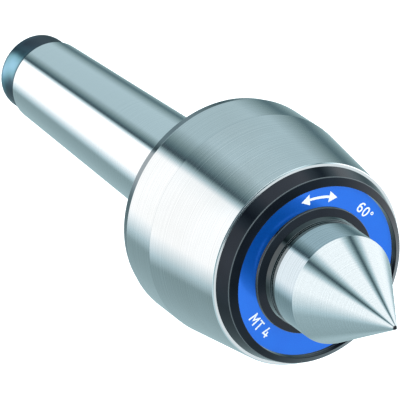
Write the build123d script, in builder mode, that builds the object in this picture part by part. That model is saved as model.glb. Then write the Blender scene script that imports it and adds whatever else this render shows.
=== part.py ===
"""Live centre on a No. 4 Morse taper shank, in millimetres.

The axis is X.  The taper's gauge plane is at x = 0, the shank runs towards -X and the
60 degree point towards +X.  Every piece is turned about that axis, so most of them are one
half section in the XY plane (x along the axis, y as the radius), revolved.
"""

import os
from math import radians, tan

from build123d import *

os.makedirs("parts", exist_ok=True)

# ---------------------------------------------------------------- driving dimensions
# Morse taper shank
gauge_dia = 31.267
taper_ratio = 1 / 19.254
taper_length = 101.5
shoulder_gap = 6.5
stub_length = 9.6
stub_relief = 0.75
stub_round = 1.5
centre_hole_r = 4.2
centre_pilot_r = 2.0
centre_pilot_length = 4.0
centre_hole_angle = 60.0
bore_step = 2.0
bore_end_gap = 2.0

# point of the spindle
point_dia = 31.6
point_angle = 60.0
tip_r = 0.35
nose_length = 9.35
land_step = 0.23
land_length = 1.75
relief_length = 1.9
relief_depth = 0.3
relief_chamfer = 0.25
relief_edge = 0.05
end_chamfer = 0.8
collar_step = 1.5
collar_length = 2.0
journal_run_on = 1.0

# deep groove ball bearing at the front
bearing_bore = 30.0
bearing_od = 55.0
bearing_width = 13.0
bearing_balls = 11
shield_thickness = 0.5
shield_inset = 0.3
ball_share = 0.2748
race_edge = 0.5
race_depth_share = 0.6
cage_thickness = 2.0
cage_overhang = 1.0

# thrust ball bearing behind it
thrust_bore = 25.0
thrust_od = 42.0
thrust_height = 11.0
thrust_balls_count = 13
thrust_ball_share = 0.3735
thrust_gap_share = 0.72
thrust_cage_share = 0.4
thrust_cage_overhang = 0.8
washer_step = 1.0

# drawn cup needle bearing in the shank
needle_bore = 16.0
needle_od = 22.0
needle_length = 16.0
needle_count = 14
needle_wall = 1.0
needle_lip = 0.8
needle_front_x = 2.0
needle_cage_gap = 0.3
needle_cage_end = 1.2
spindle_overhang = 3.0

# axial stack from the head's rear face to the cover
rear_wall = 5.5
sleeve_length = 6.5
circlip_width = 1.5
circlip_depth = 0.7
circlip_height = 3.0
circlip_gap_angle = 24.0
spring_height = 1.3
spring_thickness = 0.6
thread_length = 3.95
flange_length = 2.0

# head
head_wall = 6.1
rear_chamfer_x = 3.25
rear_chamfer_r = 0.8
head_land = 13.0
front_edge = 0.25
root_fillet = 1.0

# front cover and what it carries
cover_thread_wall = 1.0
flange_step = 0.4
rim_width = 1.0
flank_length = 4.25
flank_taper = 1.4
lip_length = 1.6
lip_width = 2.25
recess_depth = 3.7
ring_thickness = 1.4
hub_rise = 0.8
hub_cone = 0.75
hub_width = 2.35
seal_width = 3.5
seal_section = 3.5
seal_wall = 1.4
seal_lip = 1.2
hub_web = 2.4
o_ring_r = 0.74
o_ring_groove = 2.0
o_ring_land = 0.4

# clearances
race_clearance = 0.03
groove_conformity = 1.06
pocket_clearance = 0.15
needle_clearance = 0.02
seal_clearance = 0.06
o_ring_clearance = 0.02
hub_gap = 0.15
open_gap = 0.3
lip_gap = 0.4
spring_gap = 0.1
spring_rest = 0.5

# ---------------------------------------------------------------- derived sizes
gauge_r = gauge_dia / 2
bearing_seat_r = bearing_bore / 2
bearing_r = bearing_od / 2
thrust_seat_r = thrust_bore / 2
thrust_r = thrust_od / 2
journal_r = needle_bore / 2
nose_r = point_dia / 2
land_r = nose_r + land_step
collar_r = max(bearing_seat_r, land_r) + collar_step

shoulder_x = shoulder_gap
root_x = shoulder_x - root_fillet
thrust_x = shoulder_x + rear_wall
sleeve_x = thrust_x + thrust_height
circlip_x = sleeve_x + sleeve_length
bearing_x = circlip_x + circlip_width
spring_x = bearing_x + bearing_width
cover_x = spring_x + spring_height
flange_x = cover_x + thread_length
front_x = flange_x + flange_length
flank_x = front_x + flank_length
lip_x = flank_x + lip_length
ring_seat_x = lip_x - recess_depth
ring_face_x = ring_seat_x + ring_thickness
hub_x = ring_face_x + hub_rise
hub_front_x = hub_x + hub_cone
land_end_x = hub_front_x + land_length
nose_x = land_end_x + relief_length
nose_end_x = nose_x + nose_length
point_length = (nose_r - tip_r) / tan(radians(point_angle / 2))
tip_x = nose_end_x + point_length

taper_end_x = -taper_length
stub_end_x = taper_end_x - stub_length
needle_x = needle_front_x - needle_length
spindle_end_x = needle_x - spindle_overhang
bore_r = needle_od / 2 - bore_step
bore_end_x = spindle_end_x - bore_end_gap
centre_cone_length = (centre_hole_r - centre_pilot_r) / tan(radians(centre_hole_angle / 2))
pilot_end_x = stub_end_x + centre_cone_length + centre_pilot_length
journal_end_x = thrust_x + journal_run_on

thread_r = bearing_r + cover_thread_wall
flange_r = thread_r + flange_step
rim_r = flange_r + rim_width
head_r = bearing_r + head_wall
relief_r = (thrust_r + bearing_r) / 2
flank_r = flange_r - flank_taper
recess_r = flank_r - lip_width
hub_bore_r = land_r + hub_gap
hub_r = hub_bore_r + hub_width
seal_r = collar_r + seal_section
seal_x = ring_seat_x - hub_web - seal_width
circlip_groove_r = bearing_seat_r - circlip_depth
o_ring_floor_r = thread_r - 2 * o_ring_r - o_ring_clearance
o_ring_x = flange_x - o_ring_groove - o_ring_land


def taper_r(x):
    """Radius of the Morse taper at x."""
    return gauge_r + x * taper_ratio / 2


# ---------------------------------------------------------------- section helpers
def ring(x_start, x_end, r_in, r_out, mode=Mode.ADD):
    """Half section of a plain ring, added or cut away."""
    with Locations(((x_start + x_end) / 2, (r_in + r_out) / 2)):
        Rectangle(x_end - x_start, r_out - r_in, mode=mode)


def outline(*points):
    """Half section through a closed run of (x, r) points."""
    Polygon(*points, align=None)


def groove(x, r, radius):
    """Round race cut out of the half section."""
    with Locations((x, r)):
        Circle(radius, mode=Mode.SUBTRACT)


# ---------------------------------------------------------------- shank and head
# The real part is one piece of steel.  It is two solids here, which meet face to face just
# behind the fillet at the root of the shank.
with BuildPart() as taper_shank:
    with BuildSketch(Plane.XY):
        outline(
            (stub_end_x, 0),
            (stub_end_x, taper_r(taper_end_x) - stub_relief),
            (taper_end_x, taper_r(taper_end_x) - stub_relief),
            (taper_end_x + stub_relief, taper_r(taper_end_x + stub_relief)),
            (root_x, taper_r(root_x)),
            (root_x, 0),
        )
    revolve(axis=Axis.X)
    stub_edge = taper_shank.edges().filter_by(GeomType.CIRCLE).sort_by(Axis.X)[0]
    fillet(stub_edge, stub_round)
    with BuildSketch(Plane.XY):
        outline(
            (bore_end_x, 0),
            (bore_end_x, bore_r),
            (needle_x, bore_r),
            (needle_x, needle_od / 2),
            (root_x, needle_od / 2),
            (root_x, 0),
        )
        outline(
            (stub_end_x, 0),
            (stub_end_x, centre_hole_r),
            (stub_end_x + centre_cone_length, centre_pilot_r),
            (pilot_end_x, centre_pilot_r),
            (pilot_end_x + centre_pilot_r / 2, 0),
        )
    revolve(axis=Axis.X, mode=Mode.SUBTRACT)
taper_shank.part.label = "taper_shank"

with BuildPart() as bearing_head:
    with BuildSketch(Plane.XY):
        outline(
            (root_x, needle_od / 2),
            (root_x, taper_r(root_x)),
            (shoulder_x, taper_r(root_x)),
            (shoulder_x, head_r - rear_chamfer_r),
            (shoulder_x + rear_chamfer_x, head_r),
            (shoulder_x + rear_chamfer_x + head_land, head_r),
            (front_x - front_edge, rim_r),
            (front_x, rim_r - front_edge),
            (front_x, flange_r),
            (flange_x, flange_r),
            (flange_x, thread_r),
            (cover_x, thread_r),
            (cover_x, bearing_r),
            (bearing_x, bearing_r),
            (bearing_x, relief_r),
            (sleeve_x, relief_r),
            (sleeve_x, thrust_r),
            (thrust_x, thrust_r),
            (thrust_x, needle_od / 2),
        )
        Polygon(
            (root_x, taper_r(root_x)),
            (shoulder_x, taper_r(root_x)),
            (shoulder_x, taper_r(root_x) + root_fillet),
            align=None,
        )
        with Locations((root_x, taper_r(root_x) + root_fillet)):
            Circle(root_fillet, mode=Mode.SUBTRACT)
    revolve(axis=Axis.X)
bearing_head.part.label = "bearing_head"

# ---------------------------------------------------------------- spindle
with BuildPart() as spindle:
    with BuildSketch(Plane.XY):
        outline(
            (spindle_end_x, 0),
            (spindle_end_x, journal_r - end_chamfer),
            (spindle_end_x + end_chamfer, journal_r),
            (journal_end_x, journal_r),
            (journal_end_x, thrust_seat_r),
            (sleeve_x, thrust_seat_r),
            (sleeve_x, bearing_seat_r),
            (spring_x, bearing_seat_r),
            (spring_x, collar_r),
            (spring_x + collar_length, collar_r),
            (spring_x + collar_length, land_r),
            (land_end_x, land_r),
            (land_end_x, nose_r - relief_depth),
            (nose_x - relief_chamfer, nose_r - relief_depth),
            (nose_x, nose_r - relief_edge),
            (nose_x + relief_chamfer, nose_r),
            (nose_end_x, nose_r),
            (tip_x, tip_r),
            (tip_x, 0),
        )
        ring(circlip_x, bearing_x, circlip_groove_r, bearing_seat_r, Mode.SUBTRACT)
    revolve(axis=Axis.X)
spindle.part.label = "spindle"

# ---------------------------------------------------------------- front ball bearing
pitch_r = (bearing_r + bearing_seat_r) / 2
ball_r = ball_share * bearing_width
race_r = ball_r * groove_conformity
race_offset = race_r - ball_r - race_clearance
race_depth_r = race_depth_share * ball_r
bearing_mid_x = bearing_x + bearing_width / 2

with BuildPart() as bearing_inner_ring:
    with BuildSketch(Plane.XY):
        ring(bearing_x, spring_x, bearing_seat_r, pitch_r - race_depth_r)
        groove(bearing_mid_x, pitch_r + race_offset, race_r)
    revolve(axis=Axis.X)
bearing_inner_ring.part.label = "bearing_inner_ring"

with BuildPart() as bearing_outer_ring:
    with BuildSketch(Plane.XY):
        outline(
            (bearing_x, pitch_r + race_depth_r),
            (spring_x, pitch_r + race_depth_r),
            (spring_x, bearing_r - race_edge),
            (spring_x - race_edge, bearing_r),
            (bearing_x + race_edge, bearing_r),
            (bearing_x, bearing_r - race_edge),
        )
        groove(bearing_mid_x, pitch_r - race_offset, race_r)
    revolve(axis=Axis.X)
bearing_outer_ring.part.label = "bearing_outer_ring"

cage_half_width = ball_r + cage_overhang
with BuildPart(Plane.YZ.offset(bearing_mid_x)) as bearing_cage:
    with BuildSketch(Plane.XY):
        ring(
            bearing_mid_x - cage_half_width,
            bearing_mid_x + cage_half_width,
            pitch_r - cage_thickness / 2,
            pitch_r + cage_thickness / 2,
        )
    revolve(axis=Axis.X)
    with PolarLocations(pitch_r, bearing_balls):
        Cylinder(ball_r + pocket_clearance, 2 * cage_thickness, rotation=(0, 90, 0), mode=Mode.SUBTRACT)
bearing_cage.part.label = "bearing_cage"

with BuildPart(Plane.YZ.offset(bearing_mid_x)) as bearing_ball_set:
    with PolarLocations(pitch_r, bearing_balls):
        Sphere(ball_r)
bearing_ball_set.part.label = "bearing_balls"

shield_in_r = pitch_r - race_depth_r + open_gap
shield_out_r = pitch_r + race_depth_r
with BuildPart() as bearing_shields:
    with BuildSketch(Plane.XY):
        for shield_x in (bearing_x + shield_inset, spring_x - shield_inset - shield_thickness):
            ring(shield_x, shield_x + shield_thickness, shield_in_r, shield_out_r)
    revolve(axis=Axis.X)
bearing_shields.part.label = "bearing_shields"

# ---------------------------------------------------------------- what holds it on the spindle
with BuildPart() as spindle_circlip:
    with BuildSketch(Plane.XY):
        ring(circlip_x, bearing_x, circlip_groove_r, bearing_seat_r + circlip_height)
    revolve(axis=Axis.X, revolution_arc=360 - circlip_gap_angle)
spindle_circlip.part.label = "spindle_circlip"

with BuildPart() as spacer_sleeve:
    with BuildSketch(Plane.XY):
        ring(sleeve_x, circlip_x, bearing_seat_r, bearing_seat_r + circlip_height)
    revolve(axis=Axis.X)
spacer_sleeve.part.label = "spacer_sleeve"

# ---------------------------------------------------------------- thrust ball bearing
thrust_pitch_r = (thrust_seat_r + thrust_r) / 2
thrust_ball_r = thrust_ball_share * (thrust_r - thrust_seat_r)
thrust_mid_x = thrust_x + thrust_height / 2
thrust_race_r = thrust_ball_r * groove_conformity
thrust_offset = thrust_race_r - thrust_ball_r - race_clearance
thrust_gap = thrust_gap_share * thrust_ball_r

with BuildPart() as thrust_housing_washer:
    with BuildSketch(Plane.XY):
        ring(thrust_x, thrust_mid_x - thrust_gap, thrust_seat_r + washer_step, thrust_r)
        groove(thrust_mid_x + thrust_offset, thrust_pitch_r, thrust_race_r)
    revolve(axis=Axis.X)
thrust_housing_washer.part.label = "thrust_housing_washer"

with BuildPart() as thrust_shaft_washer:
    with BuildSketch(Plane.XY):
        ring(thrust_mid_x + thrust_gap, sleeve_x, thrust_seat_r, thrust_r - 2 * open_gap)
        groove(thrust_mid_x - thrust_offset, thrust_pitch_r, thrust_race_r)
    revolve(axis=Axis.X)
thrust_shaft_washer.part.label = "thrust_shaft_washer"

thrust_cage_half = thrust_cage_share * thrust_ball_r
with BuildPart(Plane.YZ.offset(thrust_mid_x)) as thrust_cage:
    with BuildSketch(Plane.XY):
        ring(
            thrust_mid_x - thrust_cage_half,
            thrust_mid_x + thrust_cage_half,
            thrust_pitch_r - thrust_ball_r - thrust_cage_overhang,
            thrust_pitch_r + thrust_ball_r + thrust_cage_overhang,
        )
    revolve(axis=Axis.X)
    with PolarLocations(thrust_pitch_r, thrust_balls_count):
        Sphere(thrust_ball_r + pocket_clearance, mode=Mode.SUBTRACT)
thrust_cage.part.label = "thrust_cage"

with BuildPart(Plane.YZ.offset(thrust_mid_x)) as thrust_balls:
    with PolarLocations(thrust_pitch_r, thrust_balls_count):
        Sphere(thrust_ball_r)
thrust_balls.part.label = "thrust_balls"

# ---------------------------------------------------------------- needle bearing in the shank
needle_in_r = needle_od / 2 - needle_wall
needle_pitch_r = (journal_r + needle_in_r) / 2
needle_r = (needle_in_r - journal_r) / 2 - needle_clearance
needle_end_x = needle_x + needle_length
lip_bore_r = journal_r + lip_gap
needle_cage_half = needle_length / 2 - needle_lip - needle_cage_gap
roller_length = 2 * (needle_cage_half - needle_cage_end)
needle_mid_x = needle_x + needle_length / 2

with BuildPart() as needle_cup:
    with BuildSketch(Plane.XY):
        ring(needle_x, needle_end_x, lip_bore_r, needle_od / 2)
        ring(needle_x + needle_lip, needle_end_x - needle_lip, 0, needle_in_r, Mode.SUBTRACT)
    revolve(axis=Axis.X)
needle_cup.part.label = "needle_cup"

with BuildPart(Plane.YZ.offset(needle_mid_x)) as needle_cage:
    with BuildSketch(Plane.XY):
        ring(
            needle_mid_x - needle_cage_half,
            needle_mid_x + needle_cage_half,
            needle_pitch_r - needle_r / 2,
            needle_pitch_r + needle_r / 2,
        )
    revolve(axis=Axis.X)
    with PolarLocations(needle_pitch_r, needle_count):
        Cylinder(needle_r + pocket_clearance, roller_length + 2 * pocket_clearance, mode=Mode.SUBTRACT)
needle_cage.part.label = "needle_cage"

with BuildPart(Plane.YZ.offset(needle_mid_x)) as needle_rollers:
    with PolarLocations(needle_pitch_r, needle_count):
        Cylinder(needle_r, roller_length)
needle_rollers.part.label = "needle_rollers"

# ---------------------------------------------------------------- front cover and its rings
with BuildPart() as front_cover:
    with BuildSketch(Plane.XY):
        outline(
            (cover_x, seal_r),
            (cover_x, thread_r),
            (flange_x, thread_r),
            (flange_x, flange_r),
            (front_x, flange_r),
            (flank_x, flank_r),
            (lip_x, recess_r),
            (ring_seat_x, recess_r),
            (ring_seat_x, hub_r),
            (hub_x, hub_r),
            (hub_front_x, hub_bore_r),
            (seal_x + seal_width, hub_bore_r),
            (seal_x + seal_width, seal_r),
        )
        ring(o_ring_x, o_ring_x + o_ring_groove, o_ring_floor_r, thread_r, Mode.SUBTRACT)
    revolve(axis=Axis.X)
front_cover.part.label = "front_cover"

with BuildPart() as cover_o_ring:
    with BuildSketch(Plane.XY):
        with Locations((o_ring_x + o_ring_groove / 2, o_ring_floor_r + o_ring_r)):
            Circle(o_ring_r)
    revolve(axis=Axis.X)
cover_o_ring.part.label = "cover_o_ring"

with BuildPart() as marking_ring:
    with BuildSketch(Plane.XY):
        ring(ring_seat_x, ring_face_x, hub_r, recess_r)
    revolve(axis=Axis.X)
marking_ring.part.label = "marking_ring"

with BuildPart() as shaft_seal:
    with BuildSketch(Plane.XY):
        outline(
            (seal_x, seal_r),
            (seal_x + seal_width, seal_r),
            (seal_x + seal_width, land_r + seal_clearance),
            (seal_x + seal_width - seal_lip, land_r + seal_clearance),
            (seal_x + seal_width - seal_lip, seal_r - seal_wall),
            (seal_x, seal_r - seal_wall),
        )
    revolve(axis=Axis.X)
shaft_seal.part.label = "shaft_seal"

with BuildPart() as preload_spring:
    with BuildSketch(Plane.XY):
        outline(
            (spring_x, bearing_r - race_edge - spring_gap),
            (spring_x + spring_thickness, bearing_r - race_edge - spring_gap),
            (cover_x, seal_r + spring_rest),
            (cover_x - spring_thickness, seal_r + spring_rest),
        )
    revolve(axis=Axis.X)
preload_spring.part.label = "preload_spring"

# ---------------------------------------------------------------- one file for each piece
pieces = (
    taper_shank,
    bearing_head,
    front_cover,
    marking_ring,
    cover_o_ring,
    shaft_seal,
    preload_spring,
    bearing_outer_ring,
    bearing_shields,
    thrust_housing_washer,
    needle_cup,
    spindle,
    bearing_inner_ring,
    spindle_circlip,
    spacer_sleeve,
    thrust_shaft_washer,
    bearing_cage,
    bearing_ball_set,
    thrust_cage,
    thrust_balls,
    needle_cage,
    needle_rollers,
)
for piece in pieces:
    export_step(piece.part, f"parts/{piece.part.label}.step")
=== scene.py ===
"""Looks of the live centre: turned steel body, black front cover, blue marking ring and point.

The axis is X, the taper's gauge plane is at x = 0, and everything is in metres.
"""

import math

import bpy
import numpy as np
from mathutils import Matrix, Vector


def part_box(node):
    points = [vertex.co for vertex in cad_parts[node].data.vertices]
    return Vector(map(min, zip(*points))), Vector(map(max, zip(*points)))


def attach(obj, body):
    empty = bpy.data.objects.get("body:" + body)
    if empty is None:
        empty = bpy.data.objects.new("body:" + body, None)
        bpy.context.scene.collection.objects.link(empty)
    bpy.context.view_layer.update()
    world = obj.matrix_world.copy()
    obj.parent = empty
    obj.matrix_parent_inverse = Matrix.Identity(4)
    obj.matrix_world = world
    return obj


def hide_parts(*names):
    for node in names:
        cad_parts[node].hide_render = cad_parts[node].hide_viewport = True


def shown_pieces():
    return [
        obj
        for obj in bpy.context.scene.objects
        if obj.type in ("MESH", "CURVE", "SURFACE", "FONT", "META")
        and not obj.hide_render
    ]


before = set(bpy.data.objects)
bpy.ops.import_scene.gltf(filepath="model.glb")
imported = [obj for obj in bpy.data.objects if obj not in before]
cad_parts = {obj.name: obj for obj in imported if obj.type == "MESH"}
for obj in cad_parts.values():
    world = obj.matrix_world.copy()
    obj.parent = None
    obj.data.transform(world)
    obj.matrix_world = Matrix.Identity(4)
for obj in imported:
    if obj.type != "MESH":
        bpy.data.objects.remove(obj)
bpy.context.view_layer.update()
MM = 0.001


# ---------------------------------------------------------------- sizes read from the model
def extent(node):
    """First x, last x and outer radius of a turned CAD node, in millimetres."""
    low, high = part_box(node)
    return low.x / MM, high.x / MM, high.y / MM


stub_end_x, root_x, _ = extent("taper_shank")
_, front_x, head_r = extent("bearing_head")
cover_x, lip_x, flange_r = extent("front_cover")
ring_seat_x, ring_face_x, recess_r = extent("marking_ring")
spindle_end_x, tip_x, collar_r = extent("spindle")
cup_x, _, cup_r = extent("needle_cup")
bearing_x, spring_x, bearing_r = extent("bearing_outer_ring")
thrust_x, _, thrust_r = extent("thrust_housing_washer")
sleeve_x, circlip_x, _ = extent("spacer_sleeve")
_, seal_end_x, seal_r = extent("shaft_seal")

# Steps that lie inside a node's box, in millimetres.
TAPER_END_X = -101.5
TAPER_SLOPE = 1 / 19.254 / 2
GAUGE_R = 31.267 / 2
STUB_STEP = 0.75
SHOULDER_X = 6.5
REAR_CHAMFER = (3.25, 0.8)
LAND_END_X = 22.75
RIM_R = 29.9
THREAD_R = 28.5
FLANGE_X = 49.25
FLANK_X = 55.5
FLANK_R = 27.5
HUB_R = 18.53
HUB_X = 55.6
HUB_FRONT_X = 56.35
HUB_BORE_R = 16.18
NECK_R = 16.03
NECK_END_X = 58.1
RELIEF_R = 15.5
RELIEF_PITCH = 0.45
NOSE_X = 60.0
NOSE_R = 15.8
NOSE_END_X = 69.35
TIP_R = 0.35
NEEDLE_SEAT_R = 8.0
THRUST_SEAT_R = 12.5
BEARING_SEAT_R = 15.0
CIRCLIP_GROOVE_R = 14.3
COLLAR_WIDTH = 2
PILOT_LENGTH = 4.0


# ---------------------------------------------------------------- turned surfaces
def rounded(corners, steps=5):
    """Closed half section whose corners (x, r, radius) each become an arc.

    An arc touches both sides at radius * tan(turn / 2) from the corner. Returns the points and
    their outward normals, so that flats stay flat and edges catch the light.
    """
    points, normals = [], []
    xr = np.array([c[:2] for c in corners], float)
    size = len(corners)
    area = np.sum(xr[:, 0] * np.roll(xr[:, 1], -1) - np.roll(xr[:, 0], -1) * xr[:, 1])
    side = 1 if area > 0 else -1
    for i, (x, r, radius) in enumerate(corners):
        here = xr[i]
        back = here - xr[i - 1]
        ahead = xr[(i + 1) % size] - here
        back_length, ahead_length = np.hypot(*back), np.hypot(*ahead)
        back, ahead = back / back_length, ahead / ahead_length
        first = side * np.array([back[1], -back[0]])
        last = side * np.array([ahead[1], -ahead[0]])
        turn = math.acos(max(-1.0, min(1.0, float(back @ ahead))))
        reach = min(radius * math.tan(turn / 2), 0.45 * back_length, 0.45 * ahead_length)
        if r < 1e-6:
            points.append(here)
            normals.append(np.array([first[0] + last[0], 0.0]))
            continue
        blend = np.linspace(0, 1, steps)[:, None]
        start, end = here - back * reach, here + ahead * reach
        arc = (1 - blend) ** 2 * start + 2 * blend * (1 - blend) * here + blend**2 * end
        points.extend(arc)
        normals.extend((1 - blend) * first + blend * last)
    points, normals = np.array(points), np.array(normals)
    return points, normals / np.maximum(np.linalg.norm(normals, axis=1), 1e-9)[:, None], side


def turned(name, corners, segments=288):
    """Solid of revolution about X: each section point (x, r) goes to (x, r cos a, r sin a)."""
    section, across, side = rounded(corners)
    angle = np.arange(segments) * 2 * math.pi / segments
    on_axis = section[:, 1] < 1e-6
    rows, coords, normals = [], [], []
    for point, normal, pole in zip(section, across, on_axis):
        a = angle[:1] if pole else angle
        rows.append(np.arange(len(a)) + sum(map(len, coords)))
        c, s = np.cos(a), np.sin(a)
        coords.append(np.stack([np.full_like(a, point[0]), point[1] * c, point[1] * s], 1))
        normals.append(np.stack([np.full_like(a, normal[0]), normal[1] * c, normal[1] * s], 1))
    faces = []
    count = len(section)
    for i in range(count):
        lower, upper = rows[i], rows[(i + 1) % count]
        if len(lower) == 1 and len(upper) == 1:
            continue
        wide = lower if len(lower) > 1 else upper
        nxt = np.roll(np.arange(len(wide)), -1)
        if len(lower) == 1:
            band = np.stack([np.full(len(wide), lower[0]), upper[nxt], upper], 1)
        elif len(upper) == 1:
            band = np.stack([lower, lower[nxt], np.full(len(wide), upper[0])], 1)
        else:
            band = np.stack([lower, lower[nxt], upper[nxt], upper], 1)
        faces.extend((band if side < 0 else band[:, ::-1]).tolist())
    return surface(name, np.concatenate(coords) * MM, faces, np.concatenate(normals))


def surface(name, coords, faces, normals=None):
    """Mesh object at the origin from arrays of points and faces, smooth where normals are given."""
    mesh = bpy.data.meshes.new(name)
    mesh.from_pydata(coords.tolist(), [], faces)
    mesh.validate()
    if normals is not None:
        mesh.shade_smooth()
        mesh.normals_split_custom_set_from_vertices(normals.tolist())
    made = bpy.data.objects.new(name, mesh)
    bpy.context.scene.collection.objects.link(made)
    return made


def stands_for(piece, node, body, material):
    """The finished piece takes the place of its CAD node and moves with the same body."""
    piece.data.materials.clear()
    piece.data.materials.append(material)
    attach(piece, body)
    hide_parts(node)
    return piece


# ---------------------------------------------------------------- material helpers
# A noise scale is per metre: 62 gives clouds some 16 mm across, and 3500 a grain of 0.3 mm.
def colour(code):
    """Linear RGBA of an sRGB hex value."""
    srgb = np.array([int(code[i : i + 2], 16) for i in (1, 3, 5)]) / 255
    linear = np.where(srgb <= 0.04045, srgb / 12.92, ((srgb + 0.055) / 1.055) ** 2.4)
    return (*linear.tolist(), 1.0)


def add(tree, kind, inputs=None, out=0, stops=(), **settings):
    """Add a node with its settings, links and ramp stops (place, hex); the answer is one output.

    Each input is a value, or a socket to link from.
    """
    node = tree.nodes.new("ShaderNode" + kind)
    for key, value in settings.items():
        setattr(node, key, value)
    for i, (place, code) in enumerate(stops):
        stop = node.color_ramp.elements[i] if i < 2 else node.color_ramp.elements.new(place)
        stop.position, stop.color = place, colour(code)
    for key, value in (inputs or {}).items():
        if isinstance(value, bpy.types.NodeSocket):
            tree.links.new(value, node.inputs[key])
        else:
            node.inputs[key].default_value = value
    return node.outputs[out] if node.outputs else None


def blank(name):
    """An empty material, its tree, and the object-space position on it in metres."""
    material = bpy.data.materials.new(name)
    material.use_nodes = True
    tree = material.node_tree
    tree.nodes.clear()
    return material, tree, add(tree, "TexCoord", out="Object")


def along_axis(tree, place):
    """Position along X in millimetres."""
    x = add(tree, "SeparateXYZ", {0: place})
    return add(tree, "Math", {0: x, 1: MM}, operation="DIVIDE")


def between(tree, value, low, high, soft):
    """1 where low < value < high and 0 outside: a rise times a fall, each this wide both ways."""
    rise = add(tree, "MapRange", {0: value, 1: low - soft, 2: low + soft})
    fall = add(tree, "MapRange", {0: value, 1: high - soft, 2: high + soft, 3: 1.0, 4: 0.0})
    return add(tree, "Math", {0: rise, 1: fall}, operation="MULTIPLY")


def lay(tree, x, place, spacing, wander=0.35):
    """Tool lines round the axis: noise along X at this spacing in mm, wandering a little.

    Real grinding lines are some hundredths of a millimetre apart, too fine to show, so these are
    drawn about ten times coarser.
    """
    drift = add(tree, "TexNoise", {"Vector": place, "Scale": 90.0, "Detail": 1.0})
    drift = add(tree, "Math", {0: drift, 1: wander}, operation="MULTIPLY")
    pitch = add(tree, "Math", {0: x, 1: spacing}, operation="DIVIDE")
    line = add(tree, "Math", {0: pitch, 1: drift}, operation="ADD")
    return add(tree, "TexNoise", {"W": line, "Scale": 1.0, "Detail": 3.0}, noise_dimensions="1D")


def two_tones(tree, noise, dark, light):
    """The middle half of a noise spread over two hex colours."""
    share = add(tree, "MapRange", {0: noise, 1: 0.25, 2: 0.75})
    return add(tree, "Mix", {0: share, 6: colour(dark), 7: colour(light)}, 2, data_type="RGBA")


def shade(tree, height=None, depth=0.0, **sockets):
    """Finish the tree: a bump of this depth in mm, if any, a Principled shader and the output."""
    inputs = {key.replace("_", " "): value for key, value in sockets.items()}
    if height is not None:
        relief = {"Strength": 1.0, "Distance": depth * MM, "Height": height}
        inputs["Normal"] = add(tree, "Bump", relief)
    add(tree, "OutputMaterial", {"Surface": add(tree, "BsdfPrincipled", inputs)})


# ---------------------------------------------------------------- metals
def ground_shank_steel():
    """Case-hardened steel, cylindrically ground: bright, with fine lines round the axis.

    The stub behind the taper is left as it came from hardening, dark and blue-grey in clouds.
    """
    material, tree, place = blank("ground_case_hardened_steel")
    x = along_axis(tree, place)
    lines = lay(tree, x, place, 0.35)
    bright = two_tones(tree, lines, "#C6C9CB", "#D5D7D8")
    soft = {"Vector": place, "Scale": 62.0, "Detail": 2.0, "Roughness": 0.45}
    clouds = add(tree, "TexNoise", soft)
    tones = [(0.34, "#26323F"), (0.47, "#3F5763"), (0.56, "#66909C"), (0.7, "#86AFC6")]
    scale = add(tree, "ValToRGB", {0: clouds}, stops=tones)
    rim = between(tree, x, stub_end_x + 1.3, TAPER_END_X - 0.8, 0.7)
    stub = add(tree, "Mix", {0: rim, 6: colour("#22303A"), 7: scale}, 2, data_type="RGBA")
    ground = between(tree, x, TAPER_END_X - 0.04, 200.0, 0.05)
    grain = add(tree, "MapRange", {0: lines, 1: 0.25, 2: 0.75, 3: 0.09, 4: 0.14})
    shade(
        tree,
        lines,
        0.0005,
        Base_Color=add(tree, "Mix", {0: ground, 6: stub, 7: bright}, 2, data_type="RGBA"),
        Metallic=1.0,
        Roughness=add(tree, "MapRange", {0: ground, 3: 0.33, 4: grain}),
        Anisotropic=0.6,
        Anisotropic_Rotation=0.25,
        Tangent=add(tree, "Tangent", direction_type="RADIAL", axis="X"),
    )
    return material


def turned_head_steel():
    """Hardened steel head, finish turned: satin, with slightly wider lines, a thin warm oil film in
    soft patches, a rear chamfer darkened as painted shade and a front rim face lightened as a
    painted highlight."""
    material, tree, place = blank("finish_turned_steel")
    x = along_axis(tree, place)
    lines = lay(tree, x, place, 0.4)
    base = two_tones(tree, lines, "#C1C4C6", "#D2D4D5")
    film = add(tree, "TexNoise", {"Vector": place, "Scale": 42.0, "Detail": 3.0, "Distortion": 0.6})
    seam = between(tree, x, LAND_END_X - 0.12, LAND_END_X + 0.12, 0.1)
    # The rear chamfer is drawn darker than the steel around it: painted shade.
    painted_dark_chamfer = between(tree, x, SHOULDER_X + 0.25, SHOULDER_X + REAR_CHAMFER[0] - 0.15, 0.1)
    # The front rim face is drawn almost white: painted highlight.
    rim = between(tree, x, front_x - 0.3, front_x - 0.03, 0.03)
    for share, code in (
        (add(tree, "MapRange", {0: film, 1: 0.25, 2: 0.75, 3: 0.0, 4: 0.3}), "#A9A8A3"),
        (add(tree, "Math", {0: seam, 1: 0.35}, operation="MULTIPLY"), "#8D979C"),
        (painted_dark_chamfer, "#626C71"),
        (rim, "#EEF1F2"),
    ):
        base = add(tree, "Mix", {0: share, 6: base, 7: colour(code)}, 2, data_type="RGBA")
    shade(
        tree,
        lines,
        0.0006,
        Base_Color=base,
        Metallic=1.0,
        Roughness=add(tree, "MapRange", {0: lines, 1: 0.25, 2: 0.75, 3: 0.09, 4: 0.15}),
        Anisotropic=0.6,
        Anisotropic_Rotation=0.25,
        Tangent=add(tree, "Tangent", direction_type="RADIAL", axis="X"),
    )
    return material


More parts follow.
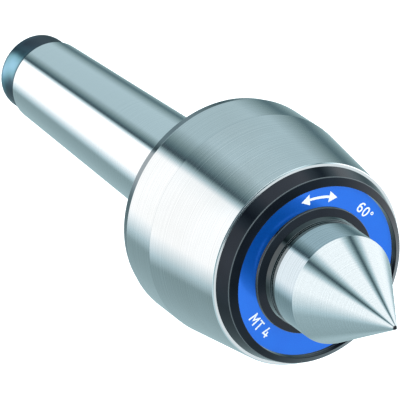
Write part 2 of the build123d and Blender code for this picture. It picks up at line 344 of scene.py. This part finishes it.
def spindle_steel():
    """Hardened tool steel, ground in steps: a dark neck and a dark ridged relief, then a nose
    darkened as a painted reflection of the dark cover and ring, and a bright point, with fine
    lines that are fainter on the point."""
    material, tree, place = blank("ground_tool_steel")
    x = along_axis(tree, place)
    lines = lay(tree, x, place, 0.3, 0.6)
    point = between(tree, x, NOSE_END_X, 200.0, 0.2)
    faint = add(tree, "Math", {0: point, 1: 0.7}, operation="MULTIPLY")
    level = (0.5, 0.5, 0.5, 1.0)
    lines = add(tree, "Mix", {0: faint, 6: lines, 7: level}, 2, data_type="RGBA")
    fine = add(tree, "TexNoise", {"Vector": place, "Scale": 3500.0, "Detail": 2.0})
    # The nose keeps its grinding lines but is drawn darker than the point: painted reflection of
    # the dark cover and blue ring, which the nose does not mirror here.
    nose_lines_and_painted_reflection = two_tones(tree, lines, "#9EA8AD", "#BAC4CA")
    ridges = add(tree, "Math", {0: x, 1: 2 * math.pi / RELIEF_PITCH}, operation="MULTIPLY")
    ridges = add(tree, "Math", {0: ridges}, operation="SINE")
    ridges = add(tree, "Math", {0: ridges, 1: 0.5, 2: 0.5}, operation="MULTIPLY_ADD")
    shadowed = {0: ridges, 6: colour("#3A4043"), 7: colour("#7C8487")}
    base = two_tones(tree, lines, "#B9BFC1", "#DADEDF")
    for share, over in (
        (add(tree, "MapRange", {0: fine, 1: 0.25, 2: 0.75, 3: 0.0, 4: 0.24}), colour("#8F9799")),
        (between(tree, x, NOSE_X, NOSE_END_X, 0.05), nose_lines_and_painted_reflection),
        (between(tree, x, spring_x, NECK_END_X, 0.05), colour("#3F4446")),
        (
            between(tree, x, NECK_END_X - 0.05, NOSE_X, 0.06),
            add(tree, "Mix", shadowed, 2, data_type="RGBA"),
        ),
        (between(tree, x, tip_x - 0.5, tip_x + 1.0, 0.1), colour("#2B2E30")),
    ):
        base = add(tree, "Mix", {0: share, 6: base, 7: over}, 2, data_type="RGBA")
    shade(
        tree,
        lines,
        0.0005,
        Base_Color=base,
        Metallic=1.0,
        Roughness=add(tree, "MapRange", {0: lines, 1: 0.25, 2: 0.75, 3: 0.11, 4: 0.19}),
        Anisotropic=0.7,
        Anisotropic_Rotation=0.25,
        Tangent=add(tree, "Tangent", direction_type="RADIAL", axis="X"),
    )
    return material


def blackened_steel():
    """Steel cover, turned and black-oxided, then oiled: near black with a soft blue-grey gloss."""
    material, tree, place = blank("oiled_black_oxide_steel")
    x = along_axis(tree, place)
    lines = lay(tree, x, place, 0.25)
    patches = add(tree, "TexNoise", {"Vector": place, "Scale": 160.0, "Detail": 3.0})
    base = two_tones(tree, patches, "#090B10", "#12161D")
    # A light band at the edge of the flank: painted highlight.
    edge = between(tree, x, FLANK_X - 0.09, FLANK_X + 0.12, 0.05)
    edge = add(tree, "Math", {0: edge, 1: 0.5}, operation="MULTIPLY")
    base = add(tree, "Mix", {0: edge, 6: base, 7: colour("#7E8689")}, 2, data_type="RGBA")
    shade(
        tree,
        lines,
        0.0015,
        Base_Color=base,
        Roughness=add(tree, "MapRange", {0: lines, 1: 0.25, 2: 0.75, 3: 0.13, 4: 0.2}),
        Specular_IOR_Level=0.22,
        Specular_Tint=colour("#B4C8E6"),
        Coat_Weight=0.2,
        Coat_Roughness=0.06,
    )
    return material


def dyed_aluminium():
    """Anodised aluminium ring dyed blue: a saturated metallic blue under a semi-gloss film."""
    material, tree, place = blank("blue_dyed_anodised_aluminium")
    grain = add(tree, "TexNoise", {"Vector": place, "Scale": 4200.0, "Detail": 2.0})
    cloud = add(tree, "TexNoise", {"Vector": place, "Scale": 120.0, "Detail": 2.0})
    base = two_tones(tree, grain, "#0661CE", "#0F6EDA")
    cover = add(tree, "MapRange", {0: cloud, 1: 0.25, 2: 0.75, 3: 0.0, 4: 0.2})
    base = add(tree, "Mix", {0: cover, 6: base, 7: colour("#0A4CC0")}, 2, data_type="RGBA")
    shade(
        tree,
        grain,
        0.0008,
        Base_Color=base,
        Metallic=0.6,
        Roughness=0.14,
        Coat_Weight=0.15,
        Coat_Roughness=0.08,
    )
    return material


def filled_marking():
    """White enamel filled into the engraved marks: matt and slightly chalky."""
    material, tree, place = blank("white_enamel_fill")
    chalk = add(tree, "TexNoise", {"Vector": place, "Scale": 2600.0, "Detail": 3.0})
    base = two_tones(tree, chalk, "#EEF3FA", "#FFFFFF")
    shade(tree, chalk, 0.004, Base_Color=base, Roughness=0.5)
    return material


def moulded_rubber():
    """Nitrile rubber, moulded: matt black with a faint bloom."""
    material, tree, place = blank("moulded_nitrile_rubber")
    bloom = add(tree, "TexNoise", {"Vector": place, "Scale": 700.0, "Detail": 4.0})
    base = two_tones(tree, bloom, "#141416", "#242527")
    grain = add(tree, "MapRange", {0: bloom, 1: 0.25, 2: 0.75, 3: 0.5, 4: 0.68})
    shade(tree, bloom, 0.01, Base_Color=base, Roughness=grain, IOR=1.52)
    return material


def plain_metal(name, dark, light, rough, spacing, depth):
    """A turned, pressed or ground metal of two close tones with lines round the axis."""
    material, tree, place = blank(name)
    x = along_axis(tree, place)
    lines = lay(tree, x, place, spacing)
    stain = add(tree, "TexNoise", {"Vector": place, "Scale": 240.0, "Detail": 3.0})
    stain = add(tree, "MapRange", {0: stain, 1: 0.25, 2: 0.75, 3: 0.0, 4: 0.25})
    base = two_tones(tree, lines, dark, light)
    base = add(tree, "Mix", {0: stain, 6: base, 7: colour(dark)}, 2, data_type="RGBA")
    grain = add(tree, "MapRange", {0: lines, 1: 0.25, 2: 0.75, 3: rough - 0.04, 4: rough + 0.06})
    shade(tree, lines, depth, Base_Color=base, Metallic=1.0, Roughness=grain)
    return material


def white_floor():
    """Matt white paper sweep, lit to a clean white."""
    material, tree, place = blank("matt_white_paper")
    fibre = add(tree, "TexNoise", {"Vector": place, "Scale": 900.0, "Detail": 2.0})
    tones = {0: fibre, 6: colour("#FBFBFB"), 7: colour("#FFFFFF")}
    shade(
        tree,
        Base_Color=add(tree, "Mix", tones, 2, data_type="RGBA"),
        Roughness=0.9,
        Emission_Color=colour("#FFFFFF"),
        Emission_Strength=0.6,
    )
    return material


shank_finish = ground_shank_steel()
head_finish = turned_head_steel()
spindle_finish = spindle_steel()
cover_finish = blackened_steel()
ring_finish = dyed_aluminium()
mark_finish = filled_marking()
rubber_finish = moulded_rubber()
spring_finish = plain_metal("phosphated_spring_steel", "#4A4D50", "#707477", 0.38, 0.4, 0.002)
race_finish = plain_metal("ground_bearing_steel", "#B4B9BB", "#D2D6D8", 0.16, 0.3, 0.001)
ball_finish = plain_metal("lapped_bearing_steel", "#C6CACC", "#D8DBDD", 0.08, 0.9, 0.0004)
cage_finish = plain_metal("machined_cage_brass", "#A98442", "#C9A55C", 0.3, 0.35, 0.002)

by_slot = {
    "ground_steel": head_finish,
    "spindle_steel": spindle_finish,
    "black_oxide_steel": cover_finish,
    "blue_anodised": ring_finish,
    "rubber": rubber_finish,
    "spring_steel": spring_finish,
    "bearing_steel": race_finish,
    "cage_brass": cage_finish,
    "ball_steel": ball_finish,
}
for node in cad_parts.values():
    for held in node.material_slots:
        held.material = by_slot[held.material.name.split(".")[0]]


# ---------------------------------------------------------------- the turned pieces that show
def taper_r(x):
    """Radius of the Morse taper at x, in millimetres."""
    return GAUGE_R + x * TAPER_SLOPE


stub_r = taper_r(TAPER_END_X) - STUB_STEP
hole_r, pilot_r = 4.2, 2.0
hole_end_x = stub_end_x + (hole_r - pilot_r) / math.tan(math.radians(30))
bore_end_x = spindle_end_x - 2
inner_r = cup_r - 2
taper_shank = turned(
    "ground_taper_shank",
    [
        (stub_end_x, stub_r, 1.5),
        (TAPER_END_X, stub_r, 0.12),
        (TAPER_END_X, stub_r + 0.02, 0.01),
        (TAPER_END_X + STUB_STEP, taper_r(TAPER_END_X + STUB_STEP), 0.2),
        (root_x, taper_r(root_x), 0.01),
        (root_x, cup_r, 0.01),
        (cup_x, cup_r, 0.1),
        (cup_x, inner_r, 0.1),
        (bore_end_x, inner_r, 0.3),
        (bore_end_x, 0, 0),
        (hole_end_x + PILOT_LENGTH + 1, 0, 0),
        (hole_end_x + PILOT_LENGTH, pilot_r, 0.1),
        (hole_end_x, pilot_r, 0.1),
        (stub_end_x, hole_r, 0.15),
    ],
)
stands_for(taper_shank, "taper_shank", "housing", shank_finish)

root_ring_r = taper_r(root_x)
bearing_head = turned(
    "turned_bearing_head",
    [
        (root_x, cup_r, 0.01),
        (root_x, root_ring_r, 0.01),
        (SHOULDER_X, root_ring_r + 0.02, 0.9),
        (SHOULDER_X, head_r - REAR_CHAMFER[1], 0.3),
        (SHOULDER_X + REAR_CHAMFER[0], head_r, 0.35),
        (LAND_END_X, head_r, 0.8),
        (front_x - 0.25, RIM_R, 0.12),
        (front_x, RIM_R - 0.25, 0.12),
        (front_x, flange_r, 0.08),
        (FLANGE_X, flange_r, 0.05),
        (FLANGE_X, THREAD_R, 0.05),
        (cover_x, THREAD_R, 0.05),
        (cover_x, bearing_r, 0.1),
        (bearing_x, bearing_r, 0.3),
        (bearing_x, (bearing_r + thrust_r) / 2, 0.2),
        (sleeve_x, (bearing_r + thrust_r) / 2, 0.2),
        (sleeve_x, thrust_r, 0.1),
        (thrust_x, thrust_r, 0.2),
        (thrust_x, cup_r, 0.1),
    ],
)
stands_for(bearing_head, "bearing_head", "housing", head_finish)

groove_x, groove_end_x, groove_r = 46.85, 48.85, 27.0
front_cover = turned(
    "blackened_front_cover",
    [
        (cover_x, seal_r, 0.1),
        (cover_x, THREAD_R, 0.2),
        (groove_x, THREAD_R, 0.05),
        (groove_x, groove_r, 0.1),
        (groove_end_x, groove_r, 0.1),
        (groove_end_x, THREAD_R, 0.05),
        (FLANGE_X, THREAD_R, 0.03),
        (FLANGE_X, flange_r, 0.03),
        (front_x, flange_r, 0.1),
        (FLANK_X, FLANK_R, 0.3),
        (lip_x, recess_r, 0.12),
        (ring_seat_x, recess_r, 0.02),
        (ring_seat_x, HUB_R, 0.02),
        (HUB_X, HUB_R, 0.2),
        (HUB_FRONT_X, HUB_BORE_R, 0.1),
        (seal_end_x, HUB_BORE_R, 0.05),
        (seal_end_x, seal_r, 0.05),
    ],
)
stands_for(front_cover, "front_cover", "housing", cover_finish)

marking_ring = turned(
    "anodised_marking_ring",
    [
        (ring_seat_x, HUB_R, 0.05),
        (ring_seat_x, recess_r, 0.05),
        (ring_face_x, recess_r, 0.1),
        (ring_face_x, HUB_R, 0.1),
    ],
)
stands_for(marking_ring, "marking_ring", "housing", ring_finish)

spindle = turned(
    "ground_spindle",
    [
        (spindle_end_x, 0, 0),
        (spindle_end_x, 7.2, 0.1),
        (spindle_end_x + 0.8, NEEDLE_SEAT_R, 0.2),
        (thrust_x + 1, NEEDLE_SEAT_R, 0.3),
        (thrust_x + 1, THRUST_SEAT_R, 0.2),
        (sleeve_x, THRUST_SEAT_R, 0.2),
        (sleeve_x, BEARING_SEAT_R, 0.2),
        (circlip_x, BEARING_SEAT_R, 0.02),
        (circlip_x, CIRCLIP_GROOVE_R, 0.05),
        (bearing_x, CIRCLIP_GROOVE_R, 0.05),
        (bearing_x, BEARING_SEAT_R, 0.02),
        (spring_x, BEARING_SEAT_R, 0.1),
        (spring_x, collar_r, 0.2),
        (spring_x + COLLAR_WIDTH, collar_r, 0.2),
        (spring_x + COLLAR_WIDTH, NECK_R, 0.2),
        (NECK_END_X, NECK_R, 0.1),
        (NECK_END_X + 0.02, RELIEF_R, 0.08),
        (NOSE_X - 0.25, RELIEF_R, 0.1),
        (NOSE_X + 0.2, NOSE_R, 0.15),
        (NOSE_END_X, NOSE_R, 0.25),
        (tip_x, TIP_R, 0.2),
        (tip_x, 0, 0),
    ],
)
stands_for(spindle, "spindle", "spindle", spindle_finish)


# ---------------------------------------------------------------- marks on the ring
MARK_R = (HUB_R + recess_r) / 2 - 0.45
MARK_HEIGHT = 3.1
MARK_LIFT = 0.03


def on_ring(name, flat, centre_deg, outward):
    """Flat shape (points u, v in mm, and faces) bent round the ring's face.

    With the tops outward, u runs clockwise as seen from the front and v runs out along the
    radius; with the tops inward both turn round. A rim of faces drops to the ring's face.
    """
    points, faces = flat
    points = np.asarray(points, float)
    sense = 1 if outward else -1
    middle = (points.min(0) + points.max(0)) / 2
    u, v = (points - middle).T
    angle = math.radians(centre_deg) - sense * u / MARK_R
    radius = MARK_R + sense * v
    x = np.full_like(u, ring_face_x + MARK_LIFT)
    top = np.stack([x, radius * np.cos(angle), radius * np.sin(angle)], 1)
    foot = top - np.array([1.2 * MARK_LIFT, 0, 0])
    count = len(top)
    faces = [list(f) for f in faces]
    sides = {}
    for face in faces:
        for a, b in zip(face, face[1:] + face[:1]):
            sides[(a, b)] = True
    open_sides = [(a, b) for a, b in sides if (b, a) not in sides]
    walls = [[b, a, a + count, b + count] for a, b in open_sides]
    under = [[i + count for i in reversed(face)] for face in faces]
    made = surface(name, np.concatenate([top, foot]) * MM, faces + walls + under)
    made.data.materials.append(mark_finish)
    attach(made, "housing")
    return made


def oval(centre, across, up, first_deg=0.0, last_deg=360.0, count=29):
    """Points on an ellipse: centre + (across cos a, up sin a) as a goes from first to last."""
    a = np.radians(np.linspace(first_deg, last_deg, count))
    return np.stack([centre[0] + across * np.cos(a), centre[1] + up * np.sin(a)], 1)


def stroke(line, width, closed=False):
    """Band along a flat line: each point goes half a width to either side of its own direction.

    The direction at a point is that from the point before it to the point after it.
    """
    if closed:
        line = line[:-1]
        ahead = np.roll(line, -1, 0) - np.roll(line, 1, 0)
    else:
        ahead = np.gradient(line, axis=0)
    ahead /= np.linalg.norm(ahead, axis=1)[:, None]
    across = np.stack([ahead[:, 1], -ahead[:, 0]], 1) * width / 2
    n = len(line)
    turns = n if closed else n - 1
    faces = [[i, (i + 1) % n, n + (i + 1) % n, n + i] for i in range(turns)]
    return np.concatenate([line + across, line - across]), faces


# Marks in units of their own height: (width, shapes), where a shape is points and faces. A round
# one is a stroke of this width along an oval, and a straight one is its outline.
LINE = 0.15
HALF = LINE / 2
SIX = np.concatenate([
    oval((0.40, 0.40), 0.40 - HALF, 0.60 - HALF, 62, 176, 12),
    oval((0.31, 0.32), 0.31 - HALF, 0.32 - HALF, 184, 488, 26),
])
OUTLINES = {
    "M": [
        (0, 0), (0.15, 0), (0.15, 0.7), (0.4, 0.2), (0.65, 0.7), (0.65, 0), (0.8, 0), (0.8, 1),
        (0.65, 1), (0.4, 0.5), (0.15, 1), (0, 1),
    ],
    "T": [
        (0.255, 0), (0.405, 0), (0.405, 0.86), (0.66, 0.86), (0.66, 1), (0, 1), (0, 0.86),
        (0.255, 0.86),
    ],
    "4": [
        (0.38, 0), (0.53, 0), (0.53, 0.2), (0.66, 0.2), (0.66, 0.34), (0.53, 0.34), (0.53, 0.62),
        (0.38, 0.62), (0.38, 0.34), (0.17, 0.34), (0.42, 1), (0.26, 1), (0, 0.33), (0, 0.2),
        (0.38, 0.2),
    ],
}
GLYPHS = {key: (np.array(line, float), [list(range(len(line)))]) for key, line in OUTLINES.items()}
GLYPHS["6"] = stroke(SIX, LINE)
GLYPHS["0"] = stroke(oval((0.31, 0.5), 0.31 - HALF, 0.5 - HALF), LINE, True)
GLYPHS["degree"] = stroke(oval((0.16, 0.84), 0.11, 0.11), 0.1, True)
GAP, SPACE = 0.15, 0.3


def lettering(keys, height):
    """Glyphs set side by side on one line, this high in mm; a blank key leaves a space."""
    points, faces, start = [], [], 0.0
    for key in keys:
        if not key:
            start += SPACE
            continue
        flat, rims = GLYPHS[key]
        count = sum(map(len, points))
        points.append(flat + (start - flat[:, 0].min(), 0))
        faces += [[count + i for i in rim] for rim in rims]
        start += np.ptp(flat[:, 0]) + GAP
    return np.concatenate(points) * height, faces


def turning_arrow(length, thickness, head, steps_along=24):
    """Two-headed arrow, both ways round: a bar of this length in mm with a triangle at each end."""
    u = np.linspace(-length / 2 + head, length / 2 - head, steps_along)
    low = np.stack([u, np.full_like(u, -thickness / 2)], 1)
    high = np.stack([u, np.full_like(u, thickness / 2)], 1)
    barbs = np.array([
        [length / 2 - head, -head * 0.62], [length / 2, 0], [length / 2 - head, head * 0.62],
        [-length / 2 + head, head * 0.62], [-length / 2, 0], [-length / 2 + head, -head * 0.62],
    ])
    n = steps_along
    bar = [[i, i + 1, n + i + 1, n + i] for i in range(n - 1)]
    ends = [
        [2 * n, 2 * n + 1, 2 * n + 2, 2 * n - 1, n - 1],
        [2 * n + 3, 2 * n + 4, 2 * n + 5, 0, n],
    ]
    return np.concatenate([low, high, barbs]), bar + ends


on_ring("mark_turns_both_ways", turning_arrow(11.5, 0.75, 2.6), 86, True)
on_ring("mark_point_angle", lettering(["6", "0", "degree"], MARK_HEIGHT), 41, True)
on_ring("mark_taper_size", lettering(["M", "T", "", "4"], MARK_HEIGHT), 217, False)


# A turned part shows the tent in its polish, without the blue of the ring in the point or the
# head in the shank.
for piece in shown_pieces():
    piece.visible_glossy = piece == spindle


# ---------------------------------------------------------------- floor
floor_z = -0.40
edge = np.linspace(-4.0, 4.0, 9)
gu, gv = np.meshgrid(edge, edge, indexing="ij")
grid = np.stack([gu.ravel(), gv.ravel(), np.full(gu.size, floor_z)], 1)
index = np.arange(gu.size).reshape(gu.shape)
quads = np.stack([index[:-1, :-1], index[1:, :-1], index[1:, 1:], index[:-1, 1:]], -1)
floor = surface("floor", grid, quads.reshape(-1, 4).tolist())
floor.data.materials.append(white_floor())
floor.visible_glossy = False
floor.visible_diffuse = False


# ---------------------------------------------------------------- studio light
# The object stands in a tent of soft panels with dark gaps between them, set in round levels.
# Each list gives how light the tent is, in percent of white, at an angle round the X axis from
# straight up (0) towards -Y. AROUND is what the body mirrors: a bright side panel, grey overhead
# and a gap on either side. BESIDE is what the point mirrors: panels between two gaps. BEFORE is
# what the ring mirrors, and AHEAD goes by height. DAYLIGHT gives the grey a cool tint.
AROUND = [
    (-180, 60), (-120, 60), (-85, 35), (-50, 70), (10, 70), (35, 20), (45, 100), (105, 100),
    (135, 55), (180, 60),
]
BESIDE = [
    (-180, 60), (-85, 95), (-60, 95), (-40, 20), (-20, 95), (20, 95), (42, 15), (60, 95),
    (90, 95), (135, 65), (180, 60),
]
BEFORE = [(-180, 90), (-90, 90), (0, 30), (60, 20), (120, 50), (180, 90)]
AHEAD = [(0.22, "#5A5A5A"), (0.42, "#A8A8A8"), (0.52, "#C8C8C8"), (0.62, "#F4F4F4")]
DAYLIGHT = [
    (0, "#000000"), (0.02, "#222A37"), (0.12, "#4D646A"), (0.23, "#71878A"), (0.51, "#ABC1C8"),
    (0.9, "#F2F6F8"), (1, "#FFFFFF"),
]
world = bpy.data.worlds.new("studio_tent")
bpy.context.scene.world = world
world.use_nodes = True
sky = world.node_tree
sky.nodes.clear()
direction = add(sky, "TexCoord", out="Generated")
towards_x = add(sky, "SeparateXYZ", {0: direction})
towards_y, towards_z = towards_x.node.outputs[1:]
left = add(sky, "Math", {0: towards_y, 1: -1.0}, operation="MULTIPLY")
turn = add(sky, "Math", {0: left, 1: towards_z}, operation="ARCTAN2")
share = add(sky, "Math", {0: turn, 1: 0.5 / math.pi, 2: 0.5}, operation="MULTIPLY_ADD")
height = add(sky, "Math", {0: towards_z, 1: 0.5, 2: 0.5}, operation="MULTIPLY_ADD")

# Each ring of panels takes over from the last as a direction's X goes from its start to its end.
# The panels straight ahead are told apart by height instead, dark low down and light above.
rings = [
    [((angle + 180) / 360, "#" + 3 * f"{round(2.55 * percent):02X}") for angle, percent in panels]
    for panels in (AROUND, BESIDE, BEFORE)
]
tone = add(sky, "ValToRGB", {0: share}, stops=rings[0])
for stops, value, start, end in (
    (rings[1], share, -0.60, -0.46),
    (rings[2], share, 0.30, 0.60),
    (AHEAD, height, 0.84, 0.93),
):
    reached = add(sky, "MapRange", {0: towards_x, 1: start, 2: end})
    ring = add(sky, "ValToRGB", {0: value}, stops=stops)
    tone = add(sky, "Mix", {0: reached, 6: tone, 7: ring}, 2, data_type="RGBA")
tint = add(sky, "ValToRGB", {0: tone}, stops=DAYLIGHT)
tent = add(sky, "Background", {"Color": tint, "Strength": 1.75})
backdrop = add(sky, "Background", {"Color": colour("#FFFFFF"), "Strength": 1.0})
seen = add(sky, "LightPath", out="Is Camera Ray")
add(sky, "OutputWorld", {"Surface": add(sky, "MixShader", {0: seen, 1: tent, 2: backdrop})})

# A soft panel before the ring fills the enamel, the dye and the rubber, which don't mirror the
# tent.
fill_light = bpy.data.lights.new("front_fill", "AREA")
fill_light.size, fill_light.energy = 0.8, 5.0
fill = bpy.data.objects.new("front_fill", fill_light)
bpy.context.scene.collection.objects.link(fill)
fill.location = (0.85, -0.05, 0.25)
fill.rotation_mode = "QUATERNION"
ring_middle = Vector((ring_face_x * MM, 0, 0))
fill.rotation_quaternion = (ring_middle - fill.location).to_track_quat("-Z", "Y")
fill.visible_glossy = False
fill.visible_camera = False


# ---------------------------------------------------------------- camera
CAMERA_TURN = math.radians(60.13)
CAMERA_RISE = math.radians(24.38)
CAMERA_DISTANCE = 0.89971
AIM_ASIDE, AIM_UP = -1.068, 0.8655  # in radii of the head
aim = Vector((ring_face_x * MM, AIM_ASIDE * head_r * MM, AIM_UP * head_r * MM))
back = Vector((
    math.sin(CAMERA_TURN) * math.cos(CAMERA_RISE),
    -math.cos(CAMERA_TURN) * math.cos(CAMERA_RISE),
    math.sin(CAMERA_RISE),
))
camera_data = bpy.data.cameras.new("camera")
camera_data.sensor_width = 36.0
camera_data.lens = 305.56
camera_data.clip_start, camera_data.clip_end = 0.05, 20.0
camera = bpy.data.objects.new("camera", camera_data)
bpy.context.scene.collection.objects.link(camera)
camera.location = aim + back * CAMERA_DISTANCE
camera.rotation_mode = "QUATERNION"
camera.rotation_quaternion = (-back).to_track_quat("-Z", "Y")
bpy.context.scene.camera = camera
bpy.context.scene.view_settings.view_transform = "Standard"
